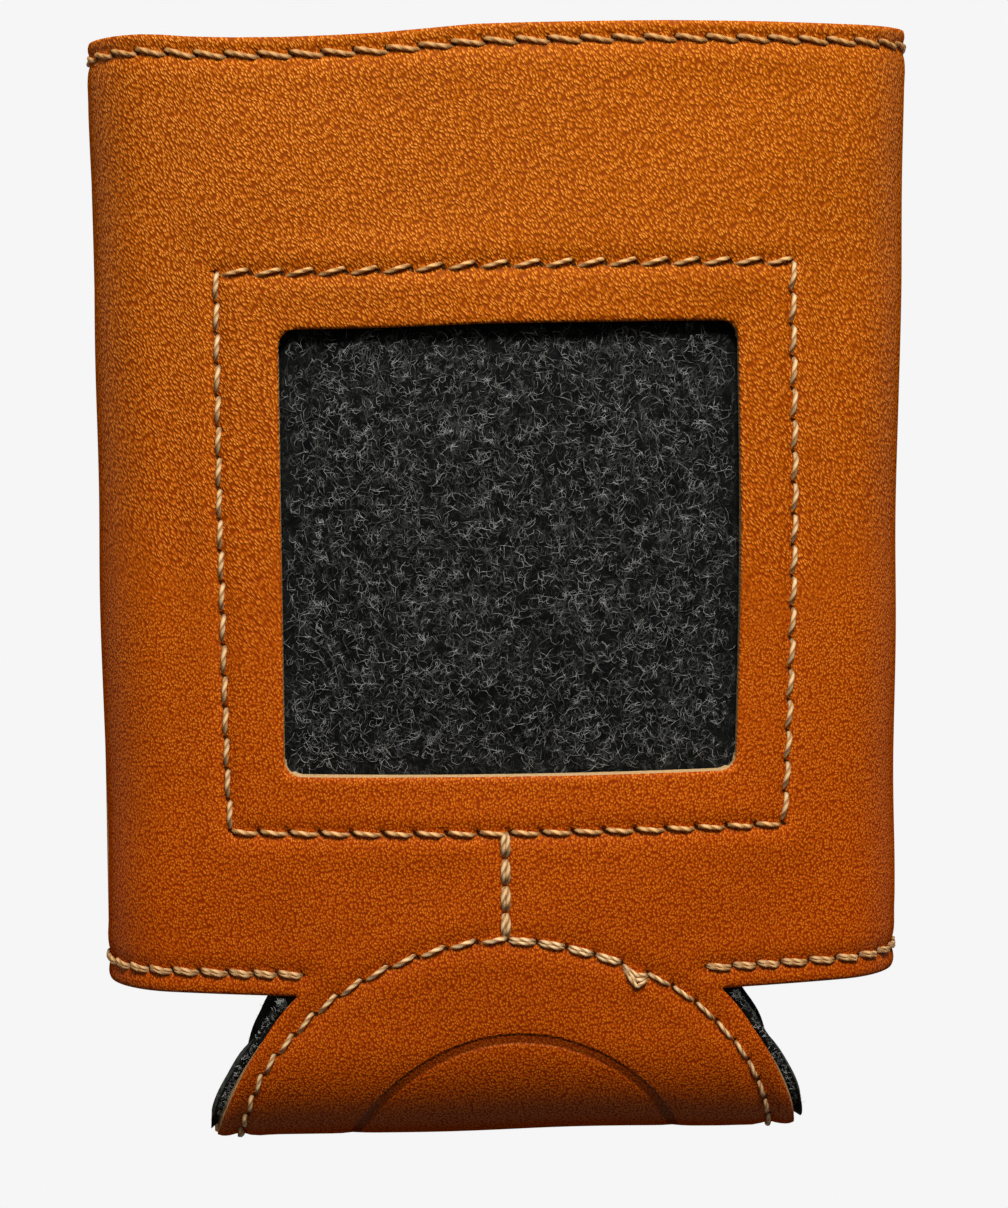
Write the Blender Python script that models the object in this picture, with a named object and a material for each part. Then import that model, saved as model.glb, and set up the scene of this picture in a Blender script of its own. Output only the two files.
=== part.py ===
"""Can cooler sleeve: a leather cover with a window, lined with felt and closed by stitching.

The sleeve lies on its back, pressed half flat. Its width runs along X, its length along Y with
the open rim at +Y, and its front looks up along Z. The leather and the felt are each cut as one
piece: front wall, round base and back wall in a row. The base is bent round between the walls.
"""
import bpy
import bmesh
import numpy as np
from math import asin, cos, pi, sin

# Sizes of the lying sleeve, in metres
COVER_WIDTH = 0.102
CROWN_RADIUS = 0.150
FOLD_RADIUS = 0.0120
WALL_HEIGHT = 0.1179
BASE_NARROWING = 0.0005
BACK_RISE = 0.0018
BACK_FLAT_LENGTH = 0.062
BACK_RISE_LENGTH = 0.020

# Sizes of the flat pattern
DISC_HALF_WIDTH = 0.0377
DISC_HALF_LENGTH = 0.0387
DISC_SQUARENESS = 2.17
NECK_LENGTH = 0.0288
LEATHER_THICKNESS = 0.0017
FELT_THICKNESS = 0.0024
LAYER_GAP = 0.0003
SEAM_GAP = 0.0003
FELT_MARGIN = 0.0010
FELT_RIM_MARGIN = 0.0004

# Window in the front wall
WINDOW_WIDTH = 0.0566
WINDOW_HEIGHT = 0.0551
WINDOW_BELOW_RIM = 0.0355
WINDOW_CORNER_RADIUS = 0.0022

# Stitching
THREAD_DIAMETER = 0.0011
THREAD_CLEARANCE = 0.00015
STITCH_PITCH = 0.0038
STITCH_PINCH = 0.55
FRAME_MARGIN = 0.0070
RIM_MARGIN = 0.0021
CIRCLE_MARGIN = 0.0030
BOTTOM_MARGIN = 0.0027
NECK_OVERLAP = 0.0020
ROW_CLEARANCE = 0.0030
SEAM_BITE = 0.0015

# Mesh fineness
ROW_MATCH = 1e-6
TAB_ROWS = 16
LOW_ROWS = 4
WINDOW_ROWS = 4
HIGH_ROWS = 5
INNER_COLUMNS = 3
FLANK_COLUMNS = 2
FOLD_COLUMNS = 6
CORNER_STEPS = 3
OVAL_SAMPLES = 721
TOP_THREAD_SIDES = 5
BOBBIN_THREAD_SIDES = 3

# The section has a crowned front, a round fold at each side and a flat back
CROWN_ANGLE = asin((COVER_WIDTH / 2 - FOLD_RADIUS) / (CROWN_RADIUS - FOLD_RADIUS))
CROWN_LENGTH = CROWN_RADIUS * CROWN_ANGLE
FOLD_LENGTH = FOLD_RADIUS * (pi - CROWN_ANGLE)
BACK_HALF_LENGTH = COVER_WIDTH / 2 - FOLD_RADIUS
HALF_GIRTH = CROWN_LENGTH + FOLD_LENGTH + BACK_HALF_LENGTH
DEPTH = CROWN_RADIUS * (1 - cos(CROWN_ANGLE)) + FOLD_RADIUS * (1 + cos(CROWN_ANGLE))
BEND_RADIUS = DEPTH / 2
STRAIGHT_TAB = NECK_LENGTH - BEND_RADIUS * pi / 2

RIM_LINE = NECK_LENGTH + WALL_HEIGHT
WINDOW_TOP = RIM_LINE - WINDOW_BELOW_RIM
WINDOW_BOTTOM = WINDOW_TOP - WINDOW_HEIGHT
FELT_FACE = LEATHER_THICKNESS + LAYER_GAP
LINING_FACE = FELT_FACE + FELT_THICKNESS


def smooth(share):
    """Ease a share of the way from 0 to 1, flat at both ends."""
    share = np.clip(share, 0, 1)
    return share * share * (3 - 2 * share)


def place(across, along, depth):
    """Lay flat-pattern points on the sleeve, depth below the leather's outer face.

    across is measured from the middle line to the right, along from the middle of the base:
    above zero on the front, below zero on the back.
    """
    across, along, depth = np.broadcast_arrays(*(np.asarray(value, float)
                                                 for value in (across, along, depth)))
    facing = np.where(along >= 0, 1.0, -1.0)
    reach = np.abs(along)
    wall = np.clip(reach - NECK_LENGTH, 0, None)
    shaped = smooth(reach / NECK_LENGTH)

    path = np.where(along >= 0, np.abs(across), HALF_GIRTH - np.abs(across))
    crown_turn = np.clip(path / CROWN_RADIUS, 0, CROWN_ANGLE)
    fold_turn = np.clip((path - CROWN_LENGTH) / FOLD_RADIUS, 0, pi - CROWN_ANGLE)
    back_run = np.clip(path - CROWN_LENGTH - FOLD_LENGTH, 0, None)
    out = (CROWN_RADIUS * np.sin(crown_turn) - back_run
           + FOLD_RADIUS * (np.sin(CROWN_ANGLE + fold_turn) - sin(CROWN_ANGLE)))
    drop = (CROWN_RADIUS * (1 - np.cos(crown_turn))
            + FOLD_RADIUS * (cos(CROWN_ANGLE) - np.cos(CROWN_ANGLE + fold_turn)))
    turn = crown_turn + fold_turn
    fall = shaped * np.where(along >= 0, drop, DEPTH - drop)
    lean = shaped * np.where(along >= 0, turn, pi - turn)
    out = shaped * out + (1 - shaped) * np.abs(across)
    out = out - BASE_NARROWING * (1 - wall / WALL_HEIGHT) * out / (COVER_WIDTH / 2)

    curl = np.clip(pi / 2 - reach / BEND_RADIUS, 0, pi / 2)
    tab = np.clip(NECK_LENGTH - reach, 0, STRAIGHT_TAB)
    sink = fall + depth * np.cos(lean)
    x = np.sign(across) * (out - depth * np.sin(lean))
    y = wall - tab - BEND_RADIUS * np.sin(curl) + sink * np.sin(curl)
    z = BEND_RADIUS + facing * (BEND_RADIUS - sink) * np.cos(curl)

    away = np.abs(y - WALL_HEIGHT / 2) - BACK_FLAT_LENGTH / 2
    z = z + BACK_RISE * smooth(away / BACK_RISE_LENGTH) * (1 - z / DEPTH)
    return np.stack([x, y, z], axis=-1)


def disc_half_width(row, margin):
    """Half width of the base at a pattern row, margin outside its own edge: a squared oval."""
    share = np.clip(np.abs(row) / (DISC_HALF_LENGTH + margin), 0, 1)
    return (DISC_HALF_WIDTH + margin) * (1 - share ** DISC_SQUARENESS) ** (1 / DISC_SQUARENESS)


def make_material(name, colour, roughness):
    """Principled material with one colour."""
    material = bpy.data.materials.new(name)
    material.use_nodes = True
    shader = material.node_tree.nodes["Principled BSDF"]
    shader.inputs["Base Color"].default_value = (*colour, 1.0)
    shader.inputs["Roughness"].default_value = roughness
    shader.inputs["Metallic"].default_value = 0.0
    return material


def add_object(name, points, faces, material):
    """Make one closed, smooth-shaded object of the sleeve."""
    mesh = bpy.data.meshes.new(name)
    mesh.from_pydata(points, [], faces)
    mesh.materials.append(material)
    mesh.shade_smooth()
    piece = bpy.data.objects.new(name, mesh)
    piece.parent = sleeve
    bpy.context.collection.objects.link(piece)
    return piece


def column_edges(row, neck_half):
    """Right-hand column positions of a pattern row: inner columns, then those round the fold."""
    window_half = WINDOW_WIDTH / 2
    shares = np.linspace(0, 1 - WINDOW_CORNER_RADIUS / window_half, INNER_COLUMNS + 1)
    shares = np.append(shares, 1)
    inner_half = np.interp(abs(row), [NECK_LENGTH, WINDOW_BOTTOM], [neck_half, window_half])
    fold_start = CROWN_LENGTH if row > 0 else BACK_HALF_LENGTH
    seam_edge = (HALF_GIRTH - SEAM_GAP) / 2
    flank = np.linspace(inner_half, fold_start, FLANK_COLUMNS + 1)[1:]
    fold = np.linspace(fold_start, seam_edge, FOLD_COLUMNS + 1)[1:]
    return np.concatenate([inner_half * shares, flank, fold]), len(shares)


def pattern_sheet(disc_margin, rim_line, has_window):
    """Flat cut of one layer: back wall, round base and front wall, as a bmesh of grid cells."""
    neck_half = disc_half_width(NECK_LENGTH, disc_margin)
    front_rows = np.concatenate([
        np.linspace(NECK_LENGTH, WINDOW_BOTTOM, LOW_ROWS + 1),
        np.linspace(WINDOW_BOTTOM + WINDOW_CORNER_RADIUS, WINDOW_TOP - WINDOW_CORNER_RADIUS,
                    WINDOW_ROWS + 1),
        np.linspace(WINDOW_TOP, rim_line, HIGH_ROWS + 1)])
    tab_rows = np.linspace(-NECK_LENGTH, NECK_LENGTH, TAB_ROWS + 1)
    rows = np.concatenate([-front_rows[::-1], tab_rows[1:-1], front_rows])

    flat = bmesh.new()
    grid = {}
    for i, row in enumerate(rows):
        edges, inner = column_edges(row, neck_half)
        if abs(row) < NECK_LENGTH - ROW_MATCH:
            half = disc_half_width(row, disc_margin)
            edges = edges[:inner] * half / edges[inner - 1]
        for j, edge in enumerate(edges):
            for side in ((0,) if j == 0 else (-1, 1)):
                grid[i, side * j] = flat.verts.new((side * edge, row, 0))
    last = inner - 1

    for (i, j) in list(grid):
        corners = [(i, j), (i, j + 1), (i + 1, j + 1), (i + 1, j)]
        if not all(corner in grid for corner in corners):
            continue
        in_window = (rows[i] > WINDOW_BOTTOM - ROW_MATCH and rows[i + 1] < WINDOW_TOP + ROW_MATCH
                     and -last <= j < last)
        if not (has_window and in_window):
            flat.faces.new([grid[corner] for corner in corners])

    if has_window:
        bottom = int(np.argmin(np.abs(rows - WINDOW_BOTTOM)))
        top = int(np.argmin(np.abs(rows - WINDOW_TOP)))
        for row, inward_row in ((bottom, bottom + 1), (top, top - 1)):
            for side in (-1, 1):
                round_corner(flat, grid[row, side * last], grid[inward_row, side * last],
                             grid[row, side * (last - 1)])
    bmesh.ops.recalc_face_normals(flat, faces=flat.faces)
    return flat


def round_corner(flat, corner, beside, below):
    """Fill one corner of the window up to a quarter circle between its two edge points."""
    centre_x = below.co.x
    centre_y = beside.co.y
    spoke_x = corner.co.x - centre_x
    spoke_y = corner.co.y - centre_y
    angles = [pi / 2 * step / CORNER_STEPS for step in range(1, CORNER_STEPS)]
    arc = [flat.verts.new((centre_x + spoke_x * cos(angle), centre_y + spoke_y * sin(angle), 0))
           for angle in angles]
    ring = [beside, *arc, below]
    for first, second in zip(ring, ring[1:]):
        flat.faces.new([corner, first, second])


def add_layer(name, flat, outer_depth, inner_depth, material):
    """Bend a flat sheet to the sleeve's form and give it its thickness."""
    flat.verts.index_update()
    if flat.faces[:][0].normal.z < 0:
        bmesh.ops.reverse_faces(flat, faces=flat.faces)
    across = np.array([vertex.co.x for vertex in flat.verts])
    along = np.array([vertex.co.y for vertex in flat.verts])
    points = np.concatenate([place(across, along, outer_depth), place(across, along, inner_depth)])
    count = len(across)
    faces = []
    for face in flat.faces:
        ring = [vertex.index for vertex in face.verts]
        faces.append(ring)
        faces.append([count + index for index in reversed(ring)])
    for edge in flat.edges:
        if edge.is_boundary:
            loop = edge.link_loops[0]
            start = loop.vert.index
            end = loop.link_loop_next.vert.index
            faces.append([end, start, count + start, count + end])
    flat.free()
    return add_object(name, points, faces, material)


def legs(corners, pitch):
    """Points at half-stitch steps along straight legs between flat corners."""
    route = []
    for start, end in zip(corners, corners[1:]):
        length = float(np.hypot(end[0] - start[0], end[1] - start[1]))
        steps = 2 * max(1, round(length / pitch))
        shares = np.arange(steps) / steps
        route += [(start[0] + (end[0] - start[0]) * share, start[1] + (end[1] - start[1]) * share)
                  for share in shares]
    return route + [corners[-1]]


def oval_route():
    """Route round the base, its points evenly spaced along the oval and two for each stitch."""
    angles = np.linspace(0, 2 * pi, OVAL_SAMPLES)
    power = 2 / DISC_SQUARENESS
    across = ((DISC_HALF_WIDTH - CIRCLE_MARGIN) * np.sign(np.sin(angles))
              * np.abs(np.sin(angles)) ** power)
    along = ((DISC_HALF_LENGTH - CIRCLE_MARGIN) * np.sign(np.cos(angles))
             * np.abs(np.cos(angles)) ** power)
    run = np.concatenate([[0], np.cumsum(np.hypot(np.diff(across), np.diff(along)))])
    stitches = 2 * round(run[-1] / STITCH_PITCH / 2)
    marks = np.linspace(0, run[-1], 2 * stitches + 1)
    return np.stack([np.interp(marks, run, across), np.interp(marks, run, along)], axis=-1)


def round_section(line, start, end):
    """Route round the section at one height, from start to end path distances off the front middle.

    A path distance beyond the seam lies on the back wall.
    """
    steps = 2 * max(1, round((end - start) / STITCH_PITCH))
    distances = np.linspace(start, end, steps + 1)
    seam = HALF_GIRTH / 2
    route = []
    for distance in distances:
        wrapped = (distance + HALF_GIRTH) % (2 * HALF_GIRTH) - HALF_GIRTH
        side = 1 if wrapped >= 0 else -1
        if abs(wrapped) <= seam:
            route.append((wrapped, line))
        else:
            route.append((side * (HALF_GIRTH - abs(wrapped)), -line))
    return route


def add_thread(name, route, sides, depth, closed):
    """Chain of stitches along a flat route, its near side at one depth below the leather's face.

    Each stitch is thick at its middle and pinched where it goes down to the next one.
    """
    radius = THREAD_DIAMETER / 2
    route = np.array(route)
    if closed:
        route = route[:-1]
    pinch = np.where(np.arange(len(route)) % 2 == 0, STITCH_PINCH, 1.0)
    away = 1 if depth > 0 else -1
    middle = place(route[:, 0], route[:, 1], depth + away * radius * pinch)
    behind = place(route[:, 0], route[:, 1], depth + away * radius * pinch - THREAD_DIAMETER)
    up = behind - middle
    up /= np.linalg.norm(up, axis=1)[:, None]
    if closed:
        ahead = np.roll(middle, -1, axis=0) - np.roll(middle, 1, axis=0)
    else:
        ahead = np.gradient(middle, axis=0)
    beside = np.cross(ahead, up)
    beside /= np.linalg.norm(beside, axis=1)[:, None]
    up = np.cross(beside, ahead)
    up /= np.linalg.norm(up, axis=1)[:, None]

    angles = 2 * pi * np.arange(sides) / sides
    ring = (np.cos(angles)[None, :, None] * beside[:, None]
            + np.sin(angles)[None, :, None] * up[:, None])
    points = middle[:, None] + ring * (radius * pinch)[:, None, None]
    rings = len(route)
    faces = []
    for i in range(rings if closed else rings - 1):
        here = i * sides
        following = (i + 1) % rings * sides
        for k in range(sides):
            turn = (k + 1) % sides
            faces.append([here + turn, here + k, following + k, following + turn])
    if not closed:
        faces.append(list(range(sides)))
        faces.append([(rings - 1) * sides + k for k in reversed(range(sides))])
    return add_object(name, points.reshape(-1, 3), faces, thread_finish)


def add_stitch_row(name, route, closed=False):
    """Top thread on the leather and bobbin thread on the lining along the same row of holes."""
    add_thread(name + "_top_thread", route, TOP_THREAD_SIDES, -THREAD_CLEARANCE, closed)
    add_thread(name + "_bobbin_thread", route, BOBBIN_THREAD_SIDES,
               LINING_FACE + THREAD_CLEARANCE, closed)


for old in list(bpy.data.objects):
    bpy.data.objects.remove(old, do_unlink=True)

sleeve = bpy.data.objects.new("can_cooler_sleeve", None)
bpy.context.collection.objects.link(sleeve)
leather_finish = make_material("leather", (0.40, 0.10, 0.01), 0.55)
felt_finish = make_material("felt", (0.022, 0.021, 0.019), 0.95)
thread_finish = make_material("thread", (0.48, 0.29, 0.13), 0.7)

# The two layers
leather_sheet = pattern_sheet(0, RIM_LINE, True)
add_layer("leather_cover", leather_sheet, 0, LEATHER_THICKNESS, leather_finish)
felt_sheet = pattern_sheet(FELT_MARGIN, RIM_LINE + FELT_RIM_MARGIN, False)
add_layer("felt_lining", felt_sheet, FELT_FACE, LINING_FACE, felt_finish)

# Row round the rim
rim_row = RIM_LINE - RIM_MARGIN
add_stitch_row("rim", round_section(rim_row, -HALF_GIRTH, HALF_GIRTH), closed=True)

# Frame round the window, and the short row that joins it to the base circle
frame_half = WINDOW_WIDTH / 2 + FRAME_MARGIN
frame_bottom = WINDOW_BOTTOM - FRAME_MARGIN
frame_top = WINDOW_TOP + FRAME_MARGIN
frame_corners = [(-frame_half, frame_bottom), (frame_half, frame_bottom), (frame_half, frame_top),
                 (-frame_half, frame_top), (-frame_half, frame_bottom)]
add_stitch_row("window_frame", legs(frame_corners, STITCH_PITCH), closed=True)
circle_top = DISC_HALF_LENGTH - CIRCLE_MARGIN
connector_ends = [(0, frame_bottom - STITCH_PITCH / 2), (0, circle_top + STITCH_PITCH / 2)]
add_stitch_row("connector", legs(connector_ends, STITCH_PITCH))

# Circle round the base, bent with it from the front wall to the back wall
add_stitch_row("base_circle", oval_route(), closed=True)

# Rows along the bottom edges, from the front neck round each side to the back neck
bottom_row = NECK_LENGTH + BOTTOM_MARGIN
row_start = disc_half_width(NECK_LENGTH, 0) - NECK_OVERLAP
right_route = round_section(bottom_row, row_start, HALF_GIRTH - row_start)
left_route = [(-across, along) for across, along in right_route]
add_stitch_row("bottom_right", right_route)
add_stitch_row("bottom_left", left_route)

# Whipped stitches that draw the front and back walls together inside each side seam
seam_across = HALF_GIRTH / 2 - SEAM_BITE
seam_start = bottom_row + ROW_CLEARANCE
seam_end = rim_row - ROW_CLEARANCE
seam_steps = 2 * round((seam_end - seam_start) / STITCH_PITCH)
seam_lines = np.linspace(seam_start, seam_end, seam_steps + 1)
for side, name in ((-1, "side_seam_left_thread"), (1, "side_seam_right_thread")):
    seam_route = [(side * seam_across, line if k % 2 == 0 else -line)
                  for k, line in enumerate(seam_lines)]
    add_thread(name, seam_route, BOBBIN_THREAD_SIDES, LINING_FACE + THREAD_CLEARANCE, False)

# The sleeve's middle goes over the origin and its back onto the ground
bpy.context.view_layer.update()
corners = np.array([tuple(vertex.co) for piece in sleeve.children for vertex in piece.data.vertices])
low = corners.min(axis=0)
high = corners.max(axis=0)
sleeve.location = (-(low[0] + high[0]) / 2, -(low[1] + high[1]) / 2, -low[2])
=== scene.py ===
"""Can cooler sleeve: the looks of its leather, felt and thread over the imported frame.

Every piece is worked out on the flat pattern, as across and along distances from the middle of
the round base, and then laid on the sleeve by one formula. Lengths are in metres.
"""
import bpy
import numpy as np
from mathutils import Euler, Matrix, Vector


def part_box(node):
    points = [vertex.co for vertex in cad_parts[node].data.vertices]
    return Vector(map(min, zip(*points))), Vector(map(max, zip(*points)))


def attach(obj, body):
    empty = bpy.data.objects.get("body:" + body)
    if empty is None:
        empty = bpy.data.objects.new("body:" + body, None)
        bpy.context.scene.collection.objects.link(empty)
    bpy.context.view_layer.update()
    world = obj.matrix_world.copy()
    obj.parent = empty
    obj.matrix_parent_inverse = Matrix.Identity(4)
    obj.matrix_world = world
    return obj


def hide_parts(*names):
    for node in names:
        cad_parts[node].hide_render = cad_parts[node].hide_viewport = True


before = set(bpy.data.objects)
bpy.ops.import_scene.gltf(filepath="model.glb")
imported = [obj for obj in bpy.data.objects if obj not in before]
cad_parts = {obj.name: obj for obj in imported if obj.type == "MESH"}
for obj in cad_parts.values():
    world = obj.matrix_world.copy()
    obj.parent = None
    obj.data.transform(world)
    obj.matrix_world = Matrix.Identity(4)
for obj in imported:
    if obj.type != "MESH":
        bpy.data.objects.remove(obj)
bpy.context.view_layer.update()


# Leather cover: one cut of vegetable-tanned leather, front wall, round base and back wall in a row.
# The cutter punches the window out of the front wall and pricks the slanted stitch holes. The cover
# is folded at the base and pressed half flat, so its front is crowned and its sides are round.
cover_low, cover_high = (np.array(corner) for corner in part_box("leather_cover"))
COVER_WIDTH = cover_high[0] - cover_low[0]
CROWN_RADIUS = 0.150
FOLD_RADIUS = 0.0120
WALL_HEIGHT = 0.1179
BASE_NARROWING = 0.0005
BACK_RISE = 0.0018
BACK_FLAT_LENGTH = 0.062
BACK_RISE_LENGTH = 0.020
NECK_LENGTH = 0.0288
DISC_HALF_WIDTH = 0.0377
DISC_HALF_LENGTH = 0.0387
DISC_SQUARENESS = 2.17
LEATHER_THICKNESS = 0.0017
SEAM_GAP = 0.0003
WINDOW_HEIGHT = 0.0551
WINDOW_BELOW_RIM = 0.0355
WINDOW_CORNER_RADIUS = 0.0022
STITCH_PITCH = 0.0038
FRAME_MARGIN = 0.0070
RIM_MARGIN = 0.0021
CIRCLE_MARGIN = 0.0030
BOTTOM_MARGIN = 0.0027
NECK_OVERLAP = 0.0020

CROWN_ANGLE = np.arcsin((COVER_WIDTH / 2 - FOLD_RADIUS) / (CROWN_RADIUS - FOLD_RADIUS))
CROWN_LENGTH = CROWN_RADIUS * CROWN_ANGLE
FOLD_LENGTH = FOLD_RADIUS * (np.pi - CROWN_ANGLE)
HALF_GIRTH = CROWN_LENGTH + FOLD_LENGTH + COVER_WIDTH / 2 - FOLD_RADIUS
DEPTH = CROWN_RADIUS * (1 - np.cos(CROWN_ANGLE)) + FOLD_RADIUS * (1 + np.cos(CROWN_ANGLE))
BEND_RADIUS = DEPTH / 2
STRAIGHT_TAB = NECK_LENGTH - BEND_RADIUS * np.pi / 2
BASE_Y = cover_high[1] - WALL_HEIGHT
RIM_LINE = NECK_LENGTH + WALL_HEIGHT
WINDOW_TOP = RIM_LINE - WINDOW_BELOW_RIM
WINDOW_BOTTOM = WINDOW_TOP - WINDOW_HEIGHT
WINDOW_MIDDLE = (WINDOW_TOP + WINDOW_BOTTOM) / 2
WINDOW_HALF = 0.0283
FRAME_HALF = WINDOW_HALF + FRAME_MARGIN
FRAME_TOP = WINDOW_TOP + FRAME_MARGIN
FRAME_BOTTOM = WINDOW_BOTTOM - FRAME_MARGIN
RIM_ROW = RIM_LINE - RIM_MARGIN
BOTTOM_ROW = NECK_LENGTH + BOTTOM_MARGIN
SEAM_EDGE = (HALF_GIRTH - SEAM_GAP) / 2


def smooth(share):
    """Ease from 0 to 1 with flat ends: 3 s^2 - 2 s^3 of the clipped share s."""
    share = np.clip(share, 0, 1)
    return share * share * (3 - 2 * share)


def bump(distance, width):
    """Bell curve exp(-(distance / width)^2)."""
    return np.exp(-(distance / width) ** 2)


def place(across, along, depth):
    """Lay flat points on the sleeve, depth below the leather's face.

    The section is a wide crown arc, a round fold and a flat back, followed by its path length.
    Past the neck the walls run straight along Y. Before it the section flattens out and the
    base turns half a circle from the front to the back.
    """
    facing = np.where(along >= 0, 1.0, -1.0)
    reach = np.abs(along)
    wall = np.clip(reach - NECK_LENGTH, 0, None)
    shaped = smooth(reach / NECK_LENGTH)
    path = np.where(along >= 0, np.abs(across), HALF_GIRTH - np.abs(across))
    crown_turn = np.clip(path / CROWN_RADIUS, 0, CROWN_ANGLE)
    fold_turn = np.clip((path - CROWN_LENGTH) / FOLD_RADIUS, 0, np.pi - CROWN_ANGLE)
    back_run = np.clip(path - CROWN_LENGTH - FOLD_LENGTH, 0, None)
    out = (CROWN_RADIUS * np.sin(crown_turn) - back_run
           + FOLD_RADIUS * (np.sin(CROWN_ANGLE + fold_turn) - np.sin(CROWN_ANGLE)))
    drop = (CROWN_RADIUS * (1 - np.cos(crown_turn))
            + FOLD_RADIUS * (np.cos(CROWN_ANGLE) - np.cos(CROWN_ANGLE + fold_turn)))
    turn = crown_turn + fold_turn
    fall = shaped * np.where(along >= 0, drop, DEPTH - drop)
    lean = shaped * np.where(along >= 0, turn, np.pi - turn)
    out = shaped * out + (1 - shaped) * np.abs(across)
    out = out - BASE_NARROWING * (1 - wall / WALL_HEIGHT) * out / (COVER_WIDTH / 2)
    curl = np.clip(np.pi / 2 - reach / BEND_RADIUS, 0, np.pi / 2)
    tab = np.clip(NECK_LENGTH - reach, 0, STRAIGHT_TAB)
    sink = fall + depth * np.cos(lean)
    x = np.sign(across) * (out - depth * np.sin(lean))
    y = wall - tab - BEND_RADIUS * np.sin(curl) + sink * np.sin(curl)
    z = BEND_RADIUS + facing * (BEND_RADIUS - sink) * np.cos(curl)
    away = np.abs(y - WALL_HEIGHT / 2) - BACK_FLAT_LENGTH / 2
    z = z + BACK_RISE * smooth(away / BACK_RISE_LENGTH) * (1 - z / DEPTH)
    return np.stack([x, y + BASE_Y, z], axis=-1)


RIM_PLACES = (-0.058, -0.0484, -0.0448, -0.0417, -0.0387, -0.0327, -0.0268, -0.0211, -0.0153,
              -0.0096, -0.0039, 0.0018, 0.0105, 0.0192, 0.0313, 0.0440, 0.058)
RIM_RISES = (-0.00095, -0.00062, -0.00058, -0.00072, -0.00100, -0.00126, -0.00132, -0.00120,
             -0.00097, -0.00050, 0.00, 0.00018, 0.00040, 0.00060, 0.00070, 0.00064, 0.00070)


def handmade(across, along):
    """Move flat points by the small unevenness of the handmade sleeve.

    The rim follows its measured rises at their places, joined by straight steps and faded out down
    to the window's bottom. The window sits a little to the right, its right side bows outward and
    the columns of its frame splay. The back half of the base is drawn in, almost only on its left.
    """
    front = along > 0
    reach = np.abs(along)
    near_rim = smooth((reach - RIM_LINE + 0.065) / 0.065)
    behind = np.interp(across, (-0.058, -0.030, 0.030, 0.058), (-0.00095, -0.0004, 0.0, 0.00070))
    rise = near_rim * np.where(front, np.interp(across, RIM_PLACES, RIM_RISES), -behind)
    height = np.clip((along - WINDOW_BOTTOM) / WINDOW_HEIGHT, 0, 1)
    near_window = (smooth((along - WINDOW_BOTTOM + 0.006) / 0.006)
                   * smooth((0.0345 - np.abs(across)) / 0.005)
                   * smooth((WINDOW_TOP + 0.006 - along) / 0.006))
    splay = np.interp(along, (0.045, 0.056, 0.090, 0.120), (-0.0006, 0.0, 0.0004, 0.0003))
    shift = (0.00030 * near_window + 0.00050 * bump(across - 0.031, 0.010) * np.sin(np.pi * height)
             + np.sign(across) * splay * bump(np.abs(across) - FRAME_HALF, 0.004))
    gathered = (np.where(across < 0, 0.0022, 0.0002) * smooth(reach / 0.008)
                * smooth((NECK_LENGTH - reach) / 0.005))
    drawn_in = np.where(front, 0.0, gathered * across / DISC_HALF_WIDTH)
    return across + front * shift - drawn_in, along + rise


def disc_half_width(row, margin):
    """Half width of the base at a row: the oval (x/a)^n + (y/b)^n = 1, margin outside its edge."""
    share = np.clip(np.abs(row) / (DISC_HALF_LENGTH + margin), 0, 1)
    return (DISC_HALF_WIDTH + margin) * (1 - share ** DISC_SQUARENESS) ** (1 / DISC_SQUARENESS)


def disc_distance(across, along):
    """Distance inside the edge of the base, near it: (1 - oval value) times the mean radius."""
    value = ((np.abs(across) / DISC_HALF_WIDTH) ** DISC_SQUARENESS
             + (np.abs(along) / DISC_HALF_LENGTH) ** DISC_SQUARENESS) ** (1 / DISC_SQUARENESS)
    return (1 - value) * (DISC_HALF_WIDTH + DISC_HALF_LENGTH) / 2


def running_sum(steps):
    """Sum of all the steps before each point along the last axis, from 0."""
    return np.insert(np.cumsum(steps, axis=-1), 0, 0, axis=-1)


def graded(keys, coarse, fine, spots=None):
    """Grid lines through all keys, fine near the spots, or all keys, and coarse away from them.

    Each stretch is divided evenly in the integral of the line density.
    """
    lines = []
    for start, end in zip(keys, keys[1:]):
        at = np.linspace(start, end, 300)
        crowd = np.max([bump(at - spot, 0.0016) for spot in spots or keys], axis=0)
        density = 1 / coarse + (1 / fine - 1 / coarse) * crowd
        count = running_sum((density[1:] + density[:-1]) / 2 * np.diff(at))
        steps = int(np.ceil(count[-1] - 1e-9))
        lines.append(np.interp(np.linspace(0, count[-1], steps + 1), count, at)[:-1])
    return np.append(np.concatenate(lines), keys[-1])


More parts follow.
